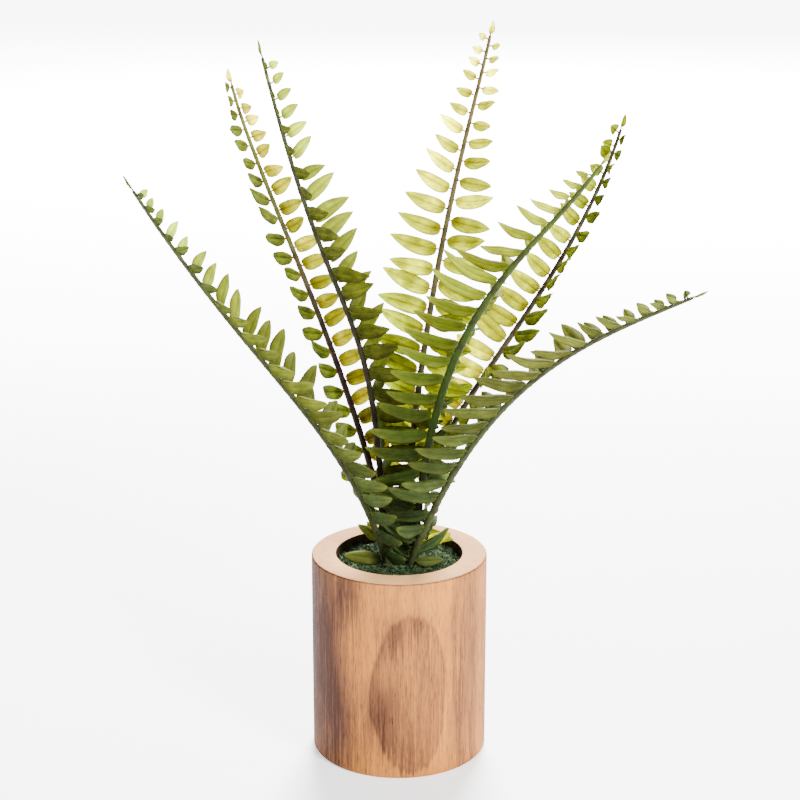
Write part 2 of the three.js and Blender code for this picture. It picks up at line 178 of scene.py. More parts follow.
# Large leaflets low on the stalks, that lie out over the moss, as in the CAD source
BASAL_LEAFLETS = [
    dict(frond="frond_left_low", up=4.5, azimuth=190, tilt=14, roll=-42, size=22),
    dict(frond="frond_right_low", up=4.5, azimuth=-20, tilt=8, roll=40, size=17),
    dict(frond="frond_right_back", up=8, azimuth=6, tilt=16, roll=42, size=21),
    dict(frond="frond_left_back", up=6, azimuth=176, tilt=52, roll=-30, size=18),
    dict(frond="frond_left_tall", up=10, azimuth=182, tilt=30, roll=-35, size=18),
    dict(frond="frond_back_tall", up=6, azimuth=40, tilt=26, roll=40, size=18),
]

# Colours of the fronds, linear. Blades: young near the frond's tip, then body, lower, and old near the moss;
# rim is their edges' and tips' colour, edge is how strong it is at the edges, and glow is the share of light
# that passes through. dark_row is the hand of the row that is turned from the light, and shaded is the
# painted shade on that row; on fronds not lit from behind, shaded is also the colour of the leaflets' stalks.
# shade_ends are the ages between which that painted shade fades out to the common colour. end_age is the age
# of the leaflet that ends the frond. Rachis: high near the tip and low near the moss.
DEEP = (0.058, 0.108, 0.038)
# Stalk colour of fronds not lit from behind, and painted shade on a row turned from the light
PIN_AND_SHADE_GREEN = (0.085, 0.105, 0.022)
LOOKS = {
    "frond_left_low": dict(
        young=(0.60, 0.70, 0.09), body=(0.23, 0.26, 0.03), lower=(0.132, 0.150, 0.028), old=DEEP,
        rim=(0.20, 0.21, 0.04), edge=0.2, glow=0.5, end_age=0.6,
        dark_row=1, shaded=(0.032, 0.044, 0.020), shade_ends=(0.2, 0.5),
        high=(0.045, 0.055, 0.016), low=(0.026, 0.034, 0.009)),
    "frond_right_low": dict(
        young=(0.22, 0.25, 0.06), body=(0.146, 0.152, 0.034), lower=(0.104, 0.132, 0.031), old=DEEP,
        rim=(0.16, 0.17, 0.03), edge=0.2, glow=0.45, shaded=PIN_AND_SHADE_GREEN,
        high=(0.05, 0.058, 0.02), low=(0.036, 0.046, 0.014)),
    "frond_left_tall": dict(
        young=(0.50, 0.58, 0.05), body=(0.25, 0.28, 0.03), lower=(0.130, 0.148, 0.028), old=DEEP,
        rim=(0.24, 0.25, 0.05), edge=0.25, glow=0.5, end_age=0.5,
        dark_row=1, shaded=(0.075, 0.082, 0.012),
        high=(0.038, 0.048, 0.018), low=(0.022, 0.018, 0.008)),
    "frond_right_front": dict(
        young=(0.38, 0.40, 0.03), body=(0.25, 0.28, 0.018), lower=(0.140, 0.200, 0.030), old=DEEP,
        rim=(0.30, 0.30, 0.05), edge=0.25, glow=0.5, shaded=PIN_AND_SHADE_GREEN,
        high=(0.05, 0.075, 0.008), low=(0.022, 0.044, 0.004)),
    "frond_left_back": dict(
        young=(0.72, 0.66, 0.03), body=(0.42, 0.40, 0.002),
        lower=(0.30, 0.27, 0.002), old=(0.18, 0.16, 0.004),
        rim=(0.15, 0.19, 0.02), edge=0.55, glow=0.7,
        dark_row=1, shaded=(0.12, 0.145, 0.045),
        high=(0.12, 0.14, 0.02), low=(0.050, 0.028, 0.024)),
    "frond_right_back": dict(
        young=(0.26, 0.29, 0.015), body=(0.50, 0.51, 0.001),
        lower=(0.55, 0.53, 0.001), old=(0.24, 0.24, 0.004),
        rim=(0.24, 0.26, 0.02), edge=0.55, glow=0.7,
        dark_row=-1, shaded=PIN_AND_SHADE_GREEN,
        high=(0.05, 0.055, 0.02), low=(0.070, 0.055, 0.030)),
    "frond_back_tall": dict(
        young=(0.74, 0.71, 0.01), body=(0.56, 0.56, 0.001),
        lower=(0.27, 0.29, 0.001), old=(0.16, 0.18, 0.004),
        rim=(0.28, 0.34, 0.02), edge=0.5, glow=0.7, shaded=PIN_AND_SHADE_GREEN,
        high=(0.13, 0.10, 0.03), low=(0.070, 0.062, 0.022)),
}
# A leaflet of the dark row carries its tone less this, which tells the material its row
SHADED_ROW = 1.0

# Camera, solved from the pot's outline: pitch in degrees, distance from the aim and the aim's height on the
# pot's axis in mm, lens and sensor in mm, and shift as a share of the frame's width
CAMERA_PITCH = 16.79
CAMERA_DISTANCE = 1019.9
CAMERA_AIM = 187.4
CAMERA_LENS = 91.44
CAMERA_SENSOR = 36
CAMERA_SHIFT = 0.8 / 800

# Studio, in metres and watts: the floor's size, its glow far off, the share of it near the pot and its
# reach, the surroundings, and the lamps, each with its name, place, size and power
FLOOR_HALF = 6
FLOOR_GLOW = 8.0
FLOOR_NEAR = 0.12
FLOOR_REACH = 2.6
SURROUNDINGS = 0.7
LAMP_AIM = (0, 0, 0.2)
LAMPS = (
    ("key", (1.0, -1.2, 1.1), 0.5, 85),
    ("backlight", (0.2, 2.3, 1.6), 1.3, 760),
)


def vec(x, y, z):
    return np.array((x, y, z), dtype=float)


def unit(v):
    return v / math.sqrt(float(v @ v))


def around(radius, degrees, z):
    a = math.radians(degrees)
    return vec(radius * math.cos(a), radius * math.sin(a), z)


def leaning(lean, azimuth):
    a = math.radians(lean)
    return around(math.sin(a), azimuth, math.cos(a))


def mix(a, b, share):
    return a + (b - a) * share


def hump(off, width):
    """A smooth hump, 1 where off is 0."""
    return math.exp(-((off / width) ** 2))


def add_object(name, data):
    thing = bpy.data.objects.new(name, data)
    bpy.context.scene.collection.objects.link(thing)
    return thing


def draw(seed, index):
    """A repeatable number from -0.5 to 0.5 for one draw of a seed."""
    x = math.sin(seed * SEED_STEP + index * INDEX_STEP) * DRAW_STRETCH
    return x - math.floor(x) - 0.5


class Line:
    """A frond's rachis above the moss, with its frame at a distance from the tip."""

    def __init__(self, frond):
        self.frond = frond
        self.name = frond["name"]
        root = around(ROOT_RING, frond["root_azimuth"], ROOT_HEIGHT)
        tip = around(frond["reach"], frond["azimuth"], frond["height"])
        span = math.sqrt(float((tip - root) @ (tip - root)))
        low = root + leaning(frond["root_lean"], frond["azimuth"]) * span * frond["root_hold"]
        high = tip - leaning(frond["tip_lean"], frond["azimuth"]) * span * frond["tip_hold"]
        self.knots = (root, low, high, tip)
        points = [self.at(i / CURVE_STEPS) for i in range(CURVE_STEPS + 1)]
        steps = [math.dist(a, b) for a, b in zip(points, points[1:])]
        self.lengths = [sum(steps[:i]) for i in range(len(steps) + 1)]
        self.length = self.lengths[-1]
        self.side = around(1, frond["azimuth"] + 90, 0)

    def at(self, t):
        a, b, c, d = self.knots
        k = 1 - t
        return a * k**3 + b * (3 * k * k * t) + c * (3 * k * t * t) + d * t**3

    def frame_at(self, from_tip):
        """Point, tangent, upper-face normal and side direction."""
        t = float(np.interp(self.length - from_tip, self.lengths, np.linspace(0, 1, CURVE_STEPS + 1)))
        tangent = unit(self.at(min(1, t + TANGENT_STEP)) - self.at(max(0, t - TANGENT_STEP)))
        return self.at(t), tangent, np.cross(tangent, self.side), self.side


def rachis_radius(frond, share):
    swell = 1 + frond.get("stout", 0) * math.sin(math.pi * share)
    return swell * mix(RACHIS_TIP_RADIUS, RACHIS_ROOT_RADIUS, math.sqrt(share))


class Leaflet:
    """A leaflet's foot, directions, bends and size in mm, its place on the rachis, and its age and tone."""

    def midrib(self, v):
        bend = self.size * v * v / 2
        straight = self.foot + self.heading * (self.size * v)
        return straight + self.upper * (self.curl * bend) + self.edge * (self.hook * bend)

    def blade_at(self, b):
        """Where share b of the blade lies along the leaflet, past its stalk."""
        return mix(STALK_LENGTH / self.size, 1, b)

    def half_width(self, b):
        blade = BLADE_FULLNESS * self.width * b**FOOT_POWER * (1 - b**TIP_POWER) ** self.point
        return max(STALK_HALF * (1 - b), blade)

    def probes(self):
        rows = []
        for b in PROBE_STATIONS:
            centre = self.midrib(self.blade_at(b))
            rows += [centre + self.edge * (self.half_width(b) * share) for share in PROBE_SHARES]
        return np.array(rows)


class RowLeaflet(Leaflet):
    """One of a frond's two rows. change holds what is tried to keep it clear: scale, fold and angle."""

    def __init__(self, line, from_tip, hand, index, change):
        frond = line.frond
        scale, fold_change, angle_change = change
        point, tangent, normal, side = line.frame_at(from_tip)
        tip_fold, root_fold, tip_angle, root_angle, twist = frond["rows"][0 if hand > 0 else 1]
        share = from_tip / line.length
        fold = mix(tip_fold, root_fold, share)
        angle = mix(tip_angle, root_angle, share)
        root_fade = 1 - ROOT_FADE * max(0, 1 - (line.length - from_tip) / ROOT_FADE_REACH)
        full = min(frond["leaf"], TIP_LEAFLET + frond["growth"] * from_tip)
        first = index * DRAWS_PER_LEAFLET
        draws = (draw(frond["seed"], first + k) for k in range(5))
        length_draw, angle_draw, fold_draw, curl_draw, hook_draw = draws
        self.size = full * (1 + SPREAD["length"] * length_draw) * root_fade * scale
        a = math.radians(angle + SPREAD["angle"] * angle_draw + angle_change)
        f = math.radians(fold + SPREAD["fold"] * fold_draw + fold_change)
        out = side * (hand * math.cos(f)) + normal * math.sin(f)
        extra = frond.get("broad", 0) * max(0, 1 - self.size / BROAD_LENGTH)
        self.width = WIDTH_BASE + WIDTH_SHARE * self.size + extra
        self.foot = point
        self.heading = out * math.sin(a) + tangent * math.cos(a)
        edge = tangent * math.sin(a) - out * math.cos(a)
        upper = normal * math.cos(f) - side * (hand * math.sin(f))
        w = math.radians(twist)
        self.edge = edge * math.cos(w) - upper * math.sin(w)
        self.upper = upper * math.cos(w) + edge * math.sin(w)
        self.curl = frond["curl"] + SPREAD["curl"] * curl_draw
        self.hook = frond["hook"] + SPREAD["hook"] * hook_draw
        self.point = mix(SHARP, frond["point"], min(1, share * BLUNT_SPEED))
        self.index = index
        self.tone = draw(frond["seed"], first + TONE_DRAW)
        if hand == LOOKS[line.name].get("dark_row"):
            self.tone -= SHADED_ROW
        self.reach = share
        self.age = share


class BasalLeaflet(Leaflet):
    """A large leaflet low on a stalk."""

    def __init__(self, line, basal, change):
        scale, fold_change, angle_change = change
        azimuth = basal["azimuth"] + angle_change
        roll = math.radians(basal["roll"])
        self.foot = line.frame_at(line.length - basal["up"])[0]
        self.heading = leaning(90 - basal["tilt"] - fold_change / 2, azimuth)
        across = around(1, azimuth + 90, 0)
        self.edge = across * math.cos(roll) + np.cross(self.heading, across) * math.sin(roll)
        self.upper = np.cross(self.heading, self.edge)
        self.width = WIDTH_BASE + WIDTH_SHARE * basal["size"]
        self.size = basal["size"] * scale
        self.index = basal["size"]
        self.reach = 1 - basal["up"] / line.length
        vars(self).update(BASAL_SHAPE)


class EndLeaflet(Leaflet):
    """The leaflet that ends a frond."""

    def __init__(self, line):
        point, tangent, normal, side = line.frame_at(END_LEAFLET_LENGTH)
        self.foot = point - tangent * END_OVERLAP
        self.heading = tangent
        self.edge = side
        self.upper = normal
        self.size = END_LEAFLET_LENGTH + END_OVERLAP
        self.width = END_LEAFLET_WIDTH
        self.age = LOOKS[line.name].get("end_age", 0)
        vars(self).update(END_SHAPE)


def ball_around(points):
    """The points' middle, and the distance of the farthest from it."""
    centre = points.mean(axis=0)
    return centre, float(np.sqrt(((points - centre) ** 2).sum(axis=1)).max())


class Placed:
    """Points placed so far, one group a leaflet or stretch of rachis, and how far others keep from them."""

    def __init__(self):
        self.groups = []

    def add(self, points, owner, kind):
        self.groups.append((*ball_around(points), points, owner, kind))

    @staticmethod
    def needed(kind, same):
        if kind == "rachis":
            return 0 if same else CLEAR_RACHIS
        return CLEAR_OWN if same else CLEAR_OTHER

    def clear(self, points, owner):
        inside = np.hypot(points[:, 0], points[:, 1]) <= RIM_REACH
        if (points[:, 2] < np.where(inside, MOSS_CLEARANCE, RIM_CLEARANCE)).any():
            return False
        centre, radius = ball_around(points)
        for other_centre, other_radius, others, other_owner, kind in self.groups:
            least = self.needed(kind, other_owner == owner)
            if math.dist(centre, other_centre) > radius + other_radius + least:
                continue
            gaps = ((points[:, None] - others[None]) ** 2).sum(axis=2)
            if gaps.min() < least * least:
                return False
        return True


def placed_leaflet(placed, owner, shape):
    """The leaflet with the first change that keeps it clear, or nothing. shape makes it with a change."""
    for scale in SCALE_TRIES:
        for fold in FOLD_TRIES:
            for angle in ANGLE_TRIES:
                leaf = shape((scale, fold, angle))
                points = leaf.probes()
                if placed.clear(points, owner):
                    placed.add(points, owner, "leaflet")
                    return [leaf]
    return []


def leaflets_of(line, placed):
    """Leaflets of one frond, left and right in turn, from the tip down."""
    leaves = []
    from_tip = FIRST_LEAFLET
    index = 0
    while from_tip < line.length - BARE_STALK:
        hand = -1 if index % 2 else 1

        def shape(change):
            return RowLeaflet(line, from_tip, hand, index, change)

        leaves += placed_leaflet(placed, line.name, shape)
        from_tip += mix(TIP_SPACING, FULL_SPACING, min(1, from_tip / SPACING_REACH)) / 2
        index += 1
    return leaves


def place_rachis(line, placed):
    count = int(line.length // RACHIS_PROBE) + 1
    points = np.array([line.frame_at(i * RACHIS_PROBE)[0] for i in range(count)])
    for start in range(0, count, RACHIS_GROUP):
        placed.add(points[start:start + RACHIS_GROUP], line.name, "rachis")


def grow():
    """Every frond's line with its leaflets, the basal ones first."""
    lines = {frond["name"]: Line(frond) for frond in FRONDS}
    placed = Placed()
    for line in lines.values():
        place_rachis(line, placed)
    leaves = {name: [] for name in lines}
    for basal in BASAL_LEAFLETS:
        line = lines[basal["frond"]]

        def shape(change):
            return BasalLeaflet(line, basal, change)

        leaves[line.name] += placed_leaflet(placed, line.name, shape)
    return [(line, leaves[line.name] + leaflets_of(line, placed)) for line in lines.values()]


class Skins:
    """Gathers closed skins over rings of points into one mesh with two named point attributes."""

    def __init__(self):
        self.points = []
        self.faces = []
        self.notes = []
        self.ages = []

    def skin(self, rings, notes, tip=None, tip_note=None, age=0):
        """rings run counterclockwise as seen from the last one. notes holds three numbers for each ring, or a
        list of such threes, one for each of its points. tip closes the far end in a point."""
        start = len(self.points)
        sides = len(rings[0])
        self.ages += [age] * (len(rings) * sides + (tip is not None))
        for ring, note in zip(rings, notes):
            self.points += ring
            self.notes += note if isinstance(note, list) else [note] * sides
        self.faces.append([start + i for i in reversed(range(sides))])
        for r in range(len(rings) - 1):
            low = start + r * sides
            for i in range(sides):
                j = (i + 1) % sides
                self.faces.append((low + i, low + j, low + sides + j, low + sides + i))
        last = start + (len(rings) - 1) * sides
        if tip is None:
            self.faces.append([last + i for i in range(sides)])
            return
        self.points.append(tip)
        self.notes.append(tip_note)
        end = len(self.points) - 1
        self.faces += [(last + i, last + (i + 1) % sides, end) for i in range(sides)]

    def piece(self, name, material):
        mesh = bpy.data.meshes.new(name)
        mesh.from_pydata([tuple(p * MM) for p in self.points], [], self.faces)
        mesh.shade_smooth()
        notes = mesh.attributes.new("notes", "FLOAT_VECTOR", "POINT")
        notes.data.foreach_set("vector", np.array(self.notes, dtype=float).ravel())
        mesh.attributes.new("age", "FLOAT", "POINT").data.foreach_set("value", self.ages)
        mesh.materials.append(material)
        return add_object(name, mesh)


# Blade: stations along it and shares across it, its thickness and its stalk in mm, and its relief. Crown,
# margin, groove and ripple are shares of its width, and ridge is a share of half of it. The widths of groove
# and ridge are shares across it. The stalk's points carry a number below 0 for their place along the blade
BLADE_STEPS = (0.002, 0.012, 0.035, 0.08, 0.15, 0.24, 0.34, 0.45, 0.56, 0.67, 0.77, 0.86, 0.93, 0.98)
BLADE_SHARES = (-1, -0.86, -0.6, -0.3, 0, 0.3, 0.6, 0.86, 1)
BLADE_THICKNESS = 0.5
PIN_RADIUS = 0.42
PIN_END = 0.93
PIN_NOTE = -1
CROWN = 0.15
MARGIN_DROP = 0.2
GROOVE = 0.05
GROOVE_WIDTH = 0.16
RIPPLE = 0.05
RIPPLE_START = 2.1
RIPPLE_TURN = 9
RIPPLE_SLANT = 1.5
RIDGE = 0.1
RIDGE_WIDTH = 0.13


def blade_lift(leaf, b, share, under):
    """How far the skin lies above the blade's middle plane: crowned, grooved, waved, and ridged below."""
    half = leaf.half_width(b)
    relief = CROWN * math.sin(math.pi * min(1, abs(share))) - MARGIN_DROP * share**2
    relief -= GROOVE * hump(share, GROOVE_WIDTH)
    relief += RIPPLE * math.sin(leaf.index * RIPPLE_START + b * RIPPLE_TURN + RIPPLE_SLANT * share) * share
    lift = 2 * half * relief
    if under:
        lift -= BLADE_THICKNESS * (1 - share**4) + RIDGE * half * hump(share, RIDGE_WIDTH)
    return lift


def blade_ring(leaf, b):
    """A ring across the blade: the top from edge to edge, then the underside back."""
    half = leaf.half_width(b)
    centre = leaf.midrib(leaf.blade_at(b))
    ring = []
    notes = []
    for under in (False, True):
        shares = BLADE_SHARES[-2:0:-1] if under else BLADE_SHARES
        for share in shares:
            ring.append(centre + leaf.edge * (half * share) + leaf.upper * blade_lift(leaf, b, share, under))
            notes.append((b, share, leaf.tone))
    return ring, notes


def pin_ring(leaf, v):
    """A round ring of the leaflet's stalk, with as many points as a blade ring."""
    centre = leaf.midrib(v)
    count = 2 * len(BLADE_SHARES) - 2
    ring = []
    for i in range(count):
        turn = math.pi - 2 * math.pi * i / count
        across = leaf.edge * (PIN_RADIUS * math.cos(turn))
        ring.append(centre + across + leaf.upper * (PIN_RADIUS * math.sin(turn)))
    return ring, [(PIN_NOTE, 0, leaf.tone)] * count


def ring_turns_back(leaf):
    """True where a blade ring runs clockwise as seen from the leaflet's tip."""
    return float(np.cross(leaf.edge, leaf.upper) @ leaf.heading) > 0


def add_blade(skins, leaf):
    rings = [pin_ring(leaf, v) for v in (0, STALK_LENGTH / leaf.size * PIN_END)]
    rings += [blade_ring(leaf, b) for b in BLADE_STEPS]
    way = -1 if ring_turns_back(leaf) else 1
    points = [ring[::way] for ring, _ in rings]
    notes = [row[::way] for _, row in rings]
    skins.skin(points, notes, leaf.midrib(1), (1, 0, leaf.tone), leaf.age)


# Rachis: its mesh, the shallow channel along its upper face, and the knots at its leaflets
RACHIS_SIDES = 12
RACHIS_STEPS = 120
CHANNEL = 0.22
CHANNEL_WIDTH = 0.5
KNOT = 0.14
KNOT_REACH = 1.3


def rachis_ring(centre, across, up, radius):
    ring = []
    for i in range(RACHIS_SIDES):
        turn = 2 * math.pi * i / RACHIS_SIDES
        r = radius * (1 - CHANNEL * hump(turn - math.pi / 2, CHANNEL_WIDTH))
        ring.append(centre + across * (r * math.cos(turn)) + up * (r * math.sin(turn)))
    return ring


def add_rachis(skins, line, leaves):
    frond = line.frond
    inward = around(-1, frond["azimuth"], 0)
    feet = [line.length * leaf.reach for leaf in leaves]
    rings = []
    notes = []
    for z in (STALK_FOOT, ROOT_HEIGHT):
        centre = around(ROOT_RING, frond["root_azimuth"], z)
        rings.append(rachis_ring(centre, line.side, inward, RACHIS_ROOT_RADIUS))
        notes.append((1, 0, 0))
    for k in range(1, RACHIS_STEPS + 1):
        from_tip = mix(line.length, END_LEAFLET_LENGTH, k / RACHIS_STEPS)
        share = from_tip / line.length
        point, _, normal, side = line.frame_at(from_tip)
        knot = 1 + KNOT * hump(min(abs(from_tip - foot) for foot in feet), KNOT_REACH)
        rings.append(rachis_ring(point, side, normal, rachis_radius(frond, share) * knot))
        notes.append((share, 0, 0))
    skins.skin(rings, notes)


def grey(value):
    return (value, value, value)


class Nodes:
    """Short ways to add shader nodes to one material."""

    def __init__(self, name):
        self.material = bpy.data.materials.new(name)
        self.material.use_nodes = True
        self.tree = self.material.node_tree
        self.shader = self.tree.nodes["Principled BSDF"]
        self.output = self.tree.nodes["Material Output"]

    def link(self, source, target):
        self.tree.links.new(source, target)

    def set(self, socket, value):
        if isinstance(value, bpy.types.NodeSocket):
            self.link(value, socket)
        elif isinstance(value, tuple) and len(value) == 3 and socket.type == "RGBA":
            socket.default_value = (*value, 1)
        else:
            socket.default_value = value

    def add(self, kind, **values):
        node = self.tree.nodes.new(kind)
        for key, value in values.items():
            setattr(node, key, value)
        return node

    def surface(self, colour, roughness, specular=0.5):
        self.set(self.shader.inputs["Base Color"], colour)
        self.set(self.shader.inputs["Roughness"], roughness)
        self.shader.inputs["Specular IOR Level"].default_value = specular

    def parts(self, vector):
        node = self.add("ShaderNodeSeparateXYZ")
        self.link(vector, node.inputs[0])
        return node.outputs

    def place(self):
        return self.add("ShaderNodeTexCoord").outputs["Object"]

    def note(self, axis):
        """One of the three numbers that a piece's points carry."""
        return self.parts(self.add("ShaderNodeAttribute", attribute_name="notes").outputs["Vector"])[axis]

    def stretched(self, upright):
        """The place, with what varies upwards drawn out."""
        node = self.add("ShaderNodeMapping")
        self.link(self.place(), node.inputs["Vector"])
        node.inputs["Scale"].default_value = (1, 1, upright)
        return node.outputs["Vector"]

    def noise(self, where, scale, detail, rough=0.5):
        """Noise, its scale in cells a metre."""
        node = self.add("ShaderNodeTexNoise")
        self.link(where, node.inputs["Vector"])
        node.inputs["Scale"].default_value = scale
        node.inputs["Detail"].default_value = detail
        node.inputs["Roughness"].default_value = rough
        return node.outputs["Fac"]

    def math(self, operation, a, b=0.0, clamp=False):
        node = self.add("ShaderNodeMath", operation=operation, use_clamp=clamp)
        self.set(node.inputs[0], a)
        self.set(node.inputs[1], b)
        return node.outputs[0]

    def plus(self, a, b, clamp=False):
        return self.math("ADD", a, b, clamp)

    def minus(self, a, b):
        return self.math("SUBTRACT", a, b)

    def times(self, a, b, clamp=False):
        return self.math("MULTIPLY", a, b, clamp)

    def over(self, a, b):
        return self.math("DIVIDE", a, b)

    def distance(self, a, b):
        return self.math("SQRT", self.plus(self.times(a, a), self.times(b, b)))

    def centred(self, noise, size):
        return self.times(self.minus(noise, 0.5), size)

    def bell(self, value, centre, half):
        off = self.over(self.minus(value, centre), half)
        return self.math("EXPONENT", self.times(self.times(off, off), -1))

    def ramp(self, share, *stops):
        node = self.add("ShaderNodeValToRGB")
        self.link(share, node.inputs["Fac"])
        points = node.color_ramp.elements
        while len(points) < len(stops):
            points.new(0.5)
        for point, (position, colour) in zip(points, stops):
            point.position = position
            point.color = (*colour, 1)
        return node.outputs["Color"]

    def greys(self, share, *stops):
        return self.ramp(share, *((position, grey(value)) for position, value in stops))

    def blend(self, share, a, b, mode="MIX"):
        node = self.add("ShaderNodeMix", data_type="RGBA", blend_type=mode)
        self.set(node.inputs["Factor"], share)
        self.set(node.inputs["A"], a)
        self.set(node.inputs["B"], b)
        return node.outputs["Result"]

    def shaded(self, colour, shade):
        return self.blend(1.0, colour, shade, "MULTIPLY")

    def bump(self, height, depth, strength=1):
        node = self.add("ShaderNodeBump")
        self.link(height, node.inputs["Height"])
        node.inputs["Distance"].default_value = depth
        node.inputs["Strength"].default_value = strength
        self.link(node.outputs["Normal"], self.shader.inputs["Normal"])


# Blade surfaces. A pair is for fronds lit from behind, and for the others. Stops are a place and a shade
LIT_GLOW = 0.6
AGES = (0.05, 0.36, 0.64, 0.92)
CLOUD_DEPTH = (0.9, 0.55)
CLOUD_LEVEL = (0.0, 0.2)
TONE_DEPTH = 0.33
CLOUD_STOPS = ((0.1, 0.28), (0.45, 0.62), (0.85, 1.4))
LENGTH_STOPS = ((0.0, 0.6), (0.3, 1.05), (1.0, 1.1))
RIM_POWER = 3
TIP_RIM = 0.5
TIP_RIM_POWER = 4
RIM_STRENGTH = 0.85
SHADE_STRENGTH = 0.85
SHADE_STOPS = ((0.3, 0.6), (0.7, 1.5))
NO_SHADE_ENDS = (1, 1.5)
LANE_STOPS = ((0.0, 0.42), (0.09, 0.8), (0.36, 1.15), (0.74, 0.95), (1.0, 0.45))
LANE_STRENGTH = (0.9, 0.6)
VEIN_STRENGTH = (0.2, 0.1)
VEIN_SHADE = 0.45
VEINS_ALONG = 30
VEINS_ACROSS = -17
RUST = (0.22, 0.09, 0.02)
RUST_STRENGTH = (0.5, 0.25)
LIT_FOOT = (0.20, 0.15, 0.02)
LIT_PIN = (0.19, 0.075, 0.03)
PASSED_LIGHT = (1.9, 1.9, 0.9)


class LeafNodes(Nodes):
    """Shader nodes of one frond's blades. Each step takes a colour and gives the next."""

    def __init__(self, name, look):
        super().__init__(name)
        self.look = look
        self.lit = look["glow"] > LIT_GLOW
        self.along = self.note("X")
        self.across = self.math("ABSOLUTE", self.note("Y"))
        drawn = self.note("Z")
        self.turned = self.math("LESS_THAN", drawn, -SHADED_ROW / 2)
        self.tone = self.plus(drawn, self.times(self.turned, SHADED_ROW))
        self.age = self.add("ShaderNodeAttribute", attribute_name="age").outputs["Fac"]
        self.patches = self.noise(self.place(), scale=140, detail=3, rough=0.6)
        self.fine = self.noise(self.place(), scale=900, detail=2, rough=0.6)
        slant = self.plus(self.times(self.along, VEINS_ALONG), self.times(self.across, VEINS_ACROSS))
        self.veins = self.plus(self.times(self.math("SINE", slant), 0.5), 0.5)

    def of(self, pair):
        return pair[0] if self.lit else pair[1]

    def ground(self):
        """Colour by age, clouded, lighter or darker from leaflet to leaflet, and darker at the foot."""
        colours = (self.look[key] for key in ("young", "body", "lower", "old"))
        colour = self.ramp(self.age, *zip(AGES, colours))
        cloud = self.plus(self.times(self.patches, self.of(CLOUD_DEPTH)), self.of(CLOUD_LEVEL))
        shade = self.plus(self.times(self.tone, TONE_DEPTH), cloud, clamp=True)
        colour = self.shaded(colour, self.greys(shade, *CLOUD_STOPS))
        return self.shaded(colour, self.greys(self.along, *LENGTH_STOPS))

    def rimmed(self, colour):
        """Edges and tips turn to the rim's colour."""
        edge = self.times(self.math("POWER", self.across, RIM_POWER), self.look["edge"])
        tip = self.math("POWER", self.math("MAXIMUM", self.along, 0), TIP_RIM_POWER)
        share = self.plus(edge, self.times(tip, TIP_RIM), clamp=True)
        return self.blend(self.times(share, RIM_STRENGTH), colour, self.look["rim"])

    def turned_away(self, colour):
        """Painted shade: the row that is turned from the light is painted a duller, darker green."""
        start, end = self.look.get("shade_ends", NO_SHADE_ENDS)
        share = self.times(self.turned, self.over(self.minus(end, self.age), end - start), clamp=True)
        # Painted shade, mottled by the patches
        painted_shade = self.shaded(self.look["shaded"], self.greys(self.patches, *SHADE_STOPS))
        return self.blend(self.times(share, SHADE_STRENGTH), colour, painted_shade)

    def ribbed(self, colour):
        """A dark midrib with a light lane on each side, a darker margin, and side veins that run forward."""
        lanes = self.greys(self.across, *LANE_STOPS)
        colour = self.blend(self.of(LANE_STRENGTH), colour, self.shaded(colour, lanes))
        dark = self.shaded(colour, grey(VEIN_SHADE))
        return self.blend(self.times(self.veins, self.of(VEIN_STRENGTH)), colour, dark)

    def rusted(self, colour):
        """Rusty blotches at the edges of some blades."""
        blotches = self.noise(self.place(), scale=330, detail=2)
        rust = self.greys(blotches, (0.62, 0), (0.74, 1))
        rust = self.times(rust, self.greys(self.across, (0.5, 0), (0.95, 1)))
        return self.blend(self.times(rust, self.of(RUST_STRENGTH)), colour, RUST)

    def footed(self, colour):
        """The blade's foot and the stalk."""
        foot = self.greys(self.along, (0.0, 0.35), (0.12, 0))
        colour = self.blend(foot, colour, self.of((LIT_FOOT, self.look["lower"])))
        pin = self.of((LIT_PIN, self.look["shaded"]))
        return self.blend(self.math("LESS_THAN", self.along, PIN_NOTE / 2), colour, pin)

    def let_light_through(self, colour):
        glow = self.add("ShaderNodeBsdfTranslucent")
        self.set(glow.inputs["Color"], self.shaded(colour, PASSED_LIGHT))
        both = self.add("ShaderNodeMixShader")
        both.inputs[0].default_value = self.look["glow"]
        self.link(self.shader.outputs[0], both.inputs[1])
        self.link(glow.outputs[0], both.inputs[2])
        self.link(both.outputs[0], self.output.inputs["Surface"])


def leaf_material(name, look):
    n = LeafNodes(name, look)
    colour = n.ribbed(n.turned_away(n.rimmed(n.ground())))
    colour = n.footed(n.rusted(colour))
    n.surface(colour, n.greys(n.fine, (0.3, 0.65), (0.7, 0.8)), specular=0.02)
    n.bump(n.plus(n.times(n.veins, 0.5), n.times(n.fine, 0.5)), depth=0.00012, strength=0.6)
    n.let_light_through(colour)
    return n.material


# Rachis surface: what its dark patches turn to
RACHIS_PATCH = (0.02, 0.012, 0.01)


def rachis_material(name, look):
    n = Nodes(name)
    streaks = n.noise(n.stretched(0.2), scale=700, detail=3, rough=0.6)
    patches = n.noise(n.place(), scale=160, detail=2)
    colour = n.ramp(n.note("X"), (0.12, look["high"]), (0.6, look["low"]))
    colour = n.blend(n.greys(patches, (0.45, 0), (0.65, 1)), colour, n.blend(0.6, colour, RACHIS_PATCH))
    colour = n.blend(n.times(streaks, 0.6), colour, n.shaded(colour, grey(0.4)))
    n.surface(colour, n.greys(streaks, (0.3, 0.5), (0.7, 0.7)), specular=0.07)
    n.bump(n.plus(streaks, patches), depth=0.0006, strength=0.8)
    return n.material


# Turned wood: its tones from pale to dark, its end face, with painted light at its front,
# and the painted shade in its bore
WOOD_TONES = (
    (0.04, (0.49, 0.180, 0.030)),
    (0.30, (0.30, 0.114, 0.030)),
    (0.58, (0.145, 0.058, 0.026)),
    (1.0, (0.050, 0.020, 0.013)),
)
END_PALE = (0.42, 0.190, 0.047)
END_DARK = (0.33, 0.142, 0.036)
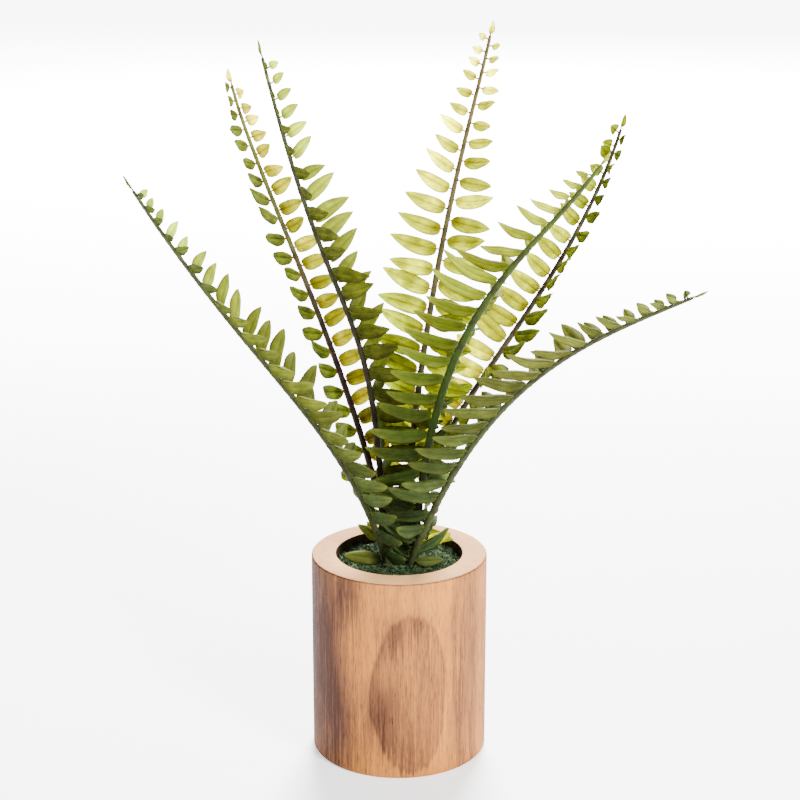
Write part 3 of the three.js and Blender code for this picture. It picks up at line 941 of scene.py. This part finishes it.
# Painted light at the end face's front, against the fronds' shadow: colour, middle and half width in mm,
# strength
END_PAINTED_LIGHT = (0.82, 0.46, 0.19)
END_PAINTED_LIGHT_CENTRE = -4
END_PAINTED_LIGHT_HALF = 19
END_PAINTED_LIGHT_STRENGTH = 0.85
# Painted shade inside the bore, and how far past the bore's radius it reaches
BORE_PAINTED_SHADE = (0.030, 0.022, 0.014)
BORE_MARGIN = 0.3
# Its grain: the tones of plain wood, fibres, streaks and pores, how much of it shows in pale wood and how
# much more in dark, and the dark line at the rim's edge, partly wear and partly painted shade
PLAIN_TONE = 0.28
FIBRE_TONE = 1.5
STREAK_TONE = 0.9
PORE_TONE = 0.28
GRAIN_IN_PALE = 0.28
GRAIN_IN_DARK = 0.9
FRAY_AND_SHADE_DEPTH = 0.3
FRAY_AND_SHADE_HALF = 0.5
FRAY_AND_SHADE_LEVEL = -0.1
# Its figure, in mm round the wall from the front, and upwards, and the ranges over which the grain moves it
ZONE_SWAY = (11, 7)
ZONE_RAISE = 34
OVAL_SWAY = (5, 2.5)
OVAL_RAISE = 12
OVAL_CENTRE = (6, 46)
OVAL_HALF = (20.5, 44)
OVAL_TONE = 0.22
OVAL_EDGE = 0.95
OVAL_EDGE_HALF = 0.035
OVAL_EDGE_TONE = 0.16
OVAL_BULGE = 2.5
OVAL_BULGE_HEIGHT = 38
OVAL_BULGE_HALF = 16
# Dark zones, of darker wood, and at -62 mm a tall one of painted shade down the pot's left edge: middle
# round the wall, half width, middle height, half height, strength
ZONES = (
    (-36, 12, 28, 33, 0.72), (-28, 8, 98, 18, 0.62), (-44, 11, 72, 44, 0.64), (-62, 16, 60, 90, 0.84),
    (36, 4, 50, 80, 0.34), (45, 5, 60, 90, 0.34), (30, 3, 70, 50, 0.20), (60, 6, 50, 90, 0.20),
    (-11, 8, 33, 17, 0.55), (-5, 7, 80, 11, 0.34), (9, 9, 84, 7, 0.20), (2, 9, 14, 12, 0.16),
    (86, 12, 40, 60, 0.40), (-92, 12, 80, 50, 0.40), (112, 10, 60, 70, 0.35),
)


class WoodNodes(Nodes):
    """Shader nodes of the pot: its place in mm, and the noises of its grain, all drawn out upwards."""

    def __init__(self, name):
        super().__init__(name)
        self.x, self.y, self.z = (self.times(axis, 1 / MM) for axis in self.parts(self.place()))
        self.round_wall = self.times(self.math("ARCTAN2", self.x, self.times(self.y, -1)), POT_RADIUS)
        self.fibres = self.noise(self.stretched(0.035), scale=1050, detail=3, rough=0.75)
        self.streaks = self.noise(self.stretched(0.05), scale=330, detail=4, rough=0.7)
        self.pores = self.noise(self.stretched(0.09), scale=1900, detail=2, rough=0.6)
        self.sway = self.noise(self.stretched(0.35), scale=42, detail=3, rough=0.6)

    def swayed(self, sway, streaks):
        """The place round the wall, moved aside by the grain."""
        shift = self.plus(self.centred(self.sway, sway), self.centred(self.streaks, streaks))
        return self.plus(self.round_wall, shift)

    def raised(self, size):
        return self.plus(self.z, self.centred(self.fibres, size))

    def zones(self):
        """The tone of the plain grain and of the dark zones, one of them painted shade down the left edge."""
        aside = self.swayed(*ZONE_SWAY)
        up = self.raised(ZONE_RAISE)
        tone = self.times(self.sway, PLAIN_TONE)
        for around_wall, half, height, tall, strength in ZONES:
            zone = self.times(self.bell(aside, around_wall, half), self.bell(up, height, tall))
            tone = self.plus(tone, self.times(zone, strength))
        return tone

    def oval(self):
        """The tone of the oval figure, with feathered ends, a dark edge and a bulge low on its left."""
        up = self.over(self.minus(self.raised(OVAL_RAISE), OVAL_CENTRE[1]), OVAL_HALF[1])
        bulge = self.times(self.bell(self.z, OVAL_BULGE_HEIGHT, OVAL_BULGE_HALF), OVAL_BULGE)
        aside = self.minus(self.swayed(*OVAL_SWAY), self.minus(OVAL_CENTRE[0], bulge))
        far = self.distance(up, self.over(aside, OVAL_HALF[0]))
        inside = self.times(self.greys(far, (0.90, 1), (1.0, 0)), OVAL_TONE)
        edge = self.bell(far, OVAL_EDGE, OVAL_EDGE_HALF)
        return self.plus(inside, self.times(edge, OVAL_EDGE_TONE))

    def wall(self):
        """The wall's colour. Upright grain shows most where the wood is dark, and the rim's edge is
        dark, partly with wear and partly with painted shade.
        """
        tone = self.plus(self.zones(), self.oval())
        grain = self.plus(self.centred(self.fibres, FIBRE_TONE), self.centred(self.streaks, STREAK_TONE))
        shows = self.plus(GRAIN_IN_PALE, self.times(tone, GRAIN_IN_DARK))
        tone = self.plus(tone, self.times(grain, shows))
        pores = self.times(self.greys(self.pores, (0.55, 0), (0.68, 1)), PORE_TONE)
        tone = self.plus(tone, pores, clamp=True)
        # Dark line at the rim's outer edge: partly wear, partly painted shade
        fray_and_shade = self.bell(self.z, POT_HEIGHT - FRAY_AND_SHADE_DEPTH, FRAY_AND_SHADE_HALF)
        fray_and_shade = self.times(fray_and_shade, self.plus(self.fibres, FRAY_AND_SHADE_LEVEL))
        return self.ramp(self.plus(tone, fray_and_shade, clamp=True), *WOOD_TONES)

    def end_face(self, colour):
        """The turned end face is cleaner, with painted light at the front against the fronds' cast shade."""
        facing = self.parts(self.add("ShaderNodeNewGeometry").outputs["Normal"])[2]
        grain = self.noise(self.place(), scale=240, detail=4, rough=0.65)
        grain = self.greys(grain, (0.35, 0), (0.75, 1))
        face = self.blend(grain, END_PALE, END_DARK)
        # Painted light: the front of the end face is lightened where the fronds' shadow falls
        front = self.bell(self.x, END_PAINTED_LIGHT_CENTRE, END_PAINTED_LIGHT_HALF)
        front = self.times(front, self.math("LESS_THAN", self.y, 0))
        face = self.blend(self.times(front, END_PAINTED_LIGHT_STRENGTH), face, END_PAINTED_LIGHT)
        return self.blend(self.greys(facing, (0.75, 0), (0.9, 1)), colour, face)

    # Painted shade: the wood inside the bore is darkened, as shade falls in it
    def shaded_bore(self, colour):
        inside = self.math("LESS_THAN", self.distance(self.x, self.y), BORE_RADIUS + BORE_MARGIN)
        bore_shade = self.times(inside, self.greys(self.streaks, (0.3, 0.8), (0.6, 1)))
        return self.blend(bore_shade, colour, BORE_PAINTED_SHADE)


def wood_material():
    n = WoodNodes("turned_wood")
    colour = n.shaded_bore(n.end_face(n.wall()))
    n.surface(colour, n.greys(n.fibres, (0.3, 0.55), (0.7, 0.75)), specular=0.05)
    n.bump(n.plus(n.fibres, n.pores), depth=0.0003, strength=0.6)
    return n.material


def moss_material(name, dark, light):
    n = Nodes(name)
    patches = n.noise(n.place(), scale=420, detail=3, rough=0.6)
    tone = n.plus(n.note("Z"), n.times(patches, 0.5), clamp=True)
    n.surface(n.ramp(tone, (0.3, dark), (1.0, light)), 0.85, specular=0.05)
    return n.material


def bed_material():
    n = Nodes("moss_bed_fibre")
    tufts = n.noise(n.place(), scale=500, detail=4, rough=0.7)
    n.surface(n.ramp(tufts, (0.35, (0.008, 0.02, 0.012)), (0.7, (0.035, 0.07, 0.035))), 0.95, specular=0.05)
    n.bump(tufts, depth=0.0012)
    return n.material


def foam_material():
    n = Nodes("plug_foam")
    cells = n.noise(n.place(), scale=1400, detail=3, rough=0.6)
    n.surface(n.ramp(cells, (0.3, (0.05, 0.08, 0.04)), (0.7, (0.13, 0.18, 0.09))), 0.95)
    n.bump(cells, depth=0.0006)
    return n.material


def floor_material():
    """A pale floor that shines more with distance, as a lit studio sweep does."""
    n = Nodes("pale_floor")
    tone = n.noise(n.place(), scale=3, detail=3)
    n.surface(n.greys(tone, (0.3, 0.78), (0.7, 0.82)), 0.8)
    away = n.add("ShaderNodeVectorMath", operation="LENGTH")
    n.link(n.place(), away.inputs[0])
    share = n.over(away.outputs["Value"], FLOOR_REACH)
    n.set(n.shader.inputs["Emission Color"], n.greys(share, (0.2, FLOOR_NEAR), (1.0, 1)))
    n.shader.inputs["Emission Strength"].default_value = FLOOR_GLOW
    return n.material


def settle(piece, node):
    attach(piece, "root")
    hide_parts(node)


def eased_corner(x, z, radius, start):
    """A quarter of a circle in the pot's section, from an angle in degrees."""
    turns = [math.radians(start + 90 * i / EASE_STEPS) for i in range(EASE_STEPS + 1)]
    return [(x + radius * math.cos(t), z + radius * math.sin(t)) for t in turns]


def pot_profile():
    """The pot's section as radius and height, from the middle of its base to that of its bore's floor."""
    profile = [(AXIS_GAP, 0)]
    profile += eased_corner(POT_RADIUS - FOOT_EASE, FOOT_EASE, FOOT_EASE, -90)
    wall = POT_HEIGHT - FOOT_EASE - RIM_EASE
    profile += [(POT_RADIUS, FOOT_EASE + wall * i / WALL_STEPS) for i in range(1, WALL_STEPS)]
    profile += eased_corner(POT_RADIUS - RIM_EASE, POT_HEIGHT - RIM_EASE, RIM_EASE, 0)
    profile += eased_corner(BORE_RADIUS + LIP_EASE, POT_HEIGHT - LIP_EASE, LIP_EASE, 90)
    profile += [(BORE_RADIUS, POT_HEIGHT - depth) for depth in BORE_RINGS]
    return profile + [(BORE_RADIUS, BORE_FLOOR), (AXIS_GAP, BORE_FLOOR)]


def rim_wear(radius, z, turn):
    """How far the outer rim edge is worn back, unevenly round the pot."""
    if radius <= POT_RADIUS - WEAR_REACH:
        return 0
    a, b, c = (turn * waves for waves in WEAR_WAVES)
    uneven = math.sin(a) * math.sin(b + 1) + 0.5 * math.sin(c)
    return abs(WEAR * hump(z - POT_HEIGHT, WEAR_DEPTH) * uneven)


def make_pot():
    """The pot's section turned in fine steps."""
    skins = Skins()
    rings = []
    for radius, z in pot_profile():
        ring = []
        for i in range(POT_SEGMENTS):
            turn = 2 * math.pi * i / POT_SEGMENTS
            r = radius - rim_wear(radius, z, turn)
            ring.append(vec(r * math.cos(turn), r * math.sin(turn), z))
        rings.append(ring)
    skins.skin(rings, [(0, 0, 0)] * len(rings))
    settle(skins.piece("wooden_pot", wood_material()), "pot")


def moss_height(x, y):
    """The moss bed's lumpy top, from three crossed waves, as in the CAD source."""
    lumps = math.sin(x * 0.42 + 1) * math.cos(y * 0.37)
    lumps += math.sin((x + y) * 0.29 + 2) + math.cos((x - y) * 0.53)
    return MOSS_TOP + MOSS_RELIEF * lumps / 3


def add_fibre(skins, chance):
    """A short curly fibre that lies on the moss bed."""
    radius = FIBRE_START_REACH * math.sqrt(chance.random())
    turn = chance.uniform(0, 2 * math.pi)
    x, y = radius * math.cos(turn), radius * math.sin(turn)
    heading = chance.uniform(0, 2 * math.pi)
    curl = chance.uniform(-FIBRE_CURL, FIBRE_CURL)
    rise = chance.uniform(*FIBRE_RISE)
    thick = chance.uniform(*FIBRE_THICK)
    tone = chance.random()
    rings = []
    for k in range(FIBRE_STEPS):
        share = k / (FIBRE_STEPS - 1)
        lift = rise * math.sin(math.pi * share) + chance.uniform(-FIBRE_SHAKE, FIBRE_SHAKE)
        centre = vec(x, y, moss_height(x, y) - FIBRE_SINK + lift)
        across = vec(-math.sin(heading), math.cos(heading), 0)
        r = thick * (1 - FIBRE_TAPER * share)
        ring = []
        for i in range(FIBRE_SIDES):
            a = 2 * math.pi * i / FIBRE_SIDES
            ring.append(centre + across * (r * math.cos(a)) + vec(0, 0, r * math.sin(a)))
        rings.append(ring)
        heading += curl + chance.uniform(-FIBRE_STRAY, FIBRE_STRAY)
        step = chance.uniform(*FIBRE_STEP)
        x += step * math.cos(heading)
        y += step * math.sin(heading)
        reach = math.hypot(x, y)
        if reach > FIBRE_REACH:
            x, y = x * FIBRE_REACH / reach, y * FIBRE_REACH / reach
    skins.skin(rings, [(0, 0, tone)] * FIBRE_STEPS)


def make_moss():
    """Loose fibres on the CAD model's own moss bed, which stays in sight between them."""
    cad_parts["moss_bed"].material_slots[0].material = bed_material()
    for name, (seed, dark, light) in FIBRE_PIECES.items():
        chance = random.Random(seed)
        skins = Skins()
        for _ in range(FIBRES_PER_PIECE):
            add_fibre(skins, chance)
        piece = skins.piece(name, moss_material(name, dark, light))
        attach(piece, "root")


def make_fronds():
    for line, leaves in grow():
        name = line.name
        look = LOOKS[name]
        blades = Skins()
        for leaf in leaves + [EndLeaflet(line)]:
            add_blade(blades, leaf)
        settle(blades.piece(name + "_leaflets", leaf_material(name + "_leaf", look)), name)
        stem = Skins()
        add_rachis(stem, line, leaves)
        settle(stem.piece(name + "_rachis", rachis_material(name + "_stem", look)), name)


def make_floor():
    mesh = bpy.data.meshes.new("floor")
    corners = [(x * FLOOR_HALF, y * FLOOR_HALF, 0) for x, y in ((-1, -1), (1, -1), (1, 1), (-1, 1))]
    mesh.from_pydata(corners, [], [(0, 1, 2, 3)])
    mesh.materials.append(floor_material())
    floor = add_object("floor", mesh)


def area_light(name, place, size, power):
    light = bpy.data.lights.new(name, "AREA")
    light.shape = "DISK"
    light.size = size
    light.energy = power
    lamp = add_object(name, light)
    lamp.location = place
    way = np.array(LAMP_AIM, dtype=float) - np.array(place, dtype=float)
    flat = math.hypot(way[0], way[1])
    lamp.rotation_euler = (math.atan2(flat, -way[2]), 0, math.atan2(-way[0], way[1]))


def make_studio():
    world = bpy.data.worlds.new("studio")
    world.use_nodes = True
    sky = world.node_tree.nodes["Background"]
    sky.inputs["Color"].default_value = (1, 1, 1, 1)
    sky.inputs["Strength"].default_value = SURROUNDINGS
    bpy.context.scene.world = world
    for lamp in LAMPS:
        area_light(*lamp)


def make_camera():
    pitch = math.radians(CAMERA_PITCH)
    data = bpy.data.cameras.new("camera")
    data.lens = CAMERA_LENS
    data.sensor_width = CAMERA_SENSOR
    data.shift_x = CAMERA_SHIFT
    camera = add_object("camera", data)
    away = CAMERA_DISTANCE * MM
    camera.location = (0, -away * math.cos(pitch), CAMERA_AIM * MM + away * math.sin(pitch))
    camera.rotation_euler = (math.pi / 2 - pitch, 0, 0)
    bpy.context.scene.camera = camera


make_camera()
make_studio()
make_floor()
make_pot()
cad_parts["foam_plug"].material_slots[0].material = foam_material()
make_moss()
make_fronds()
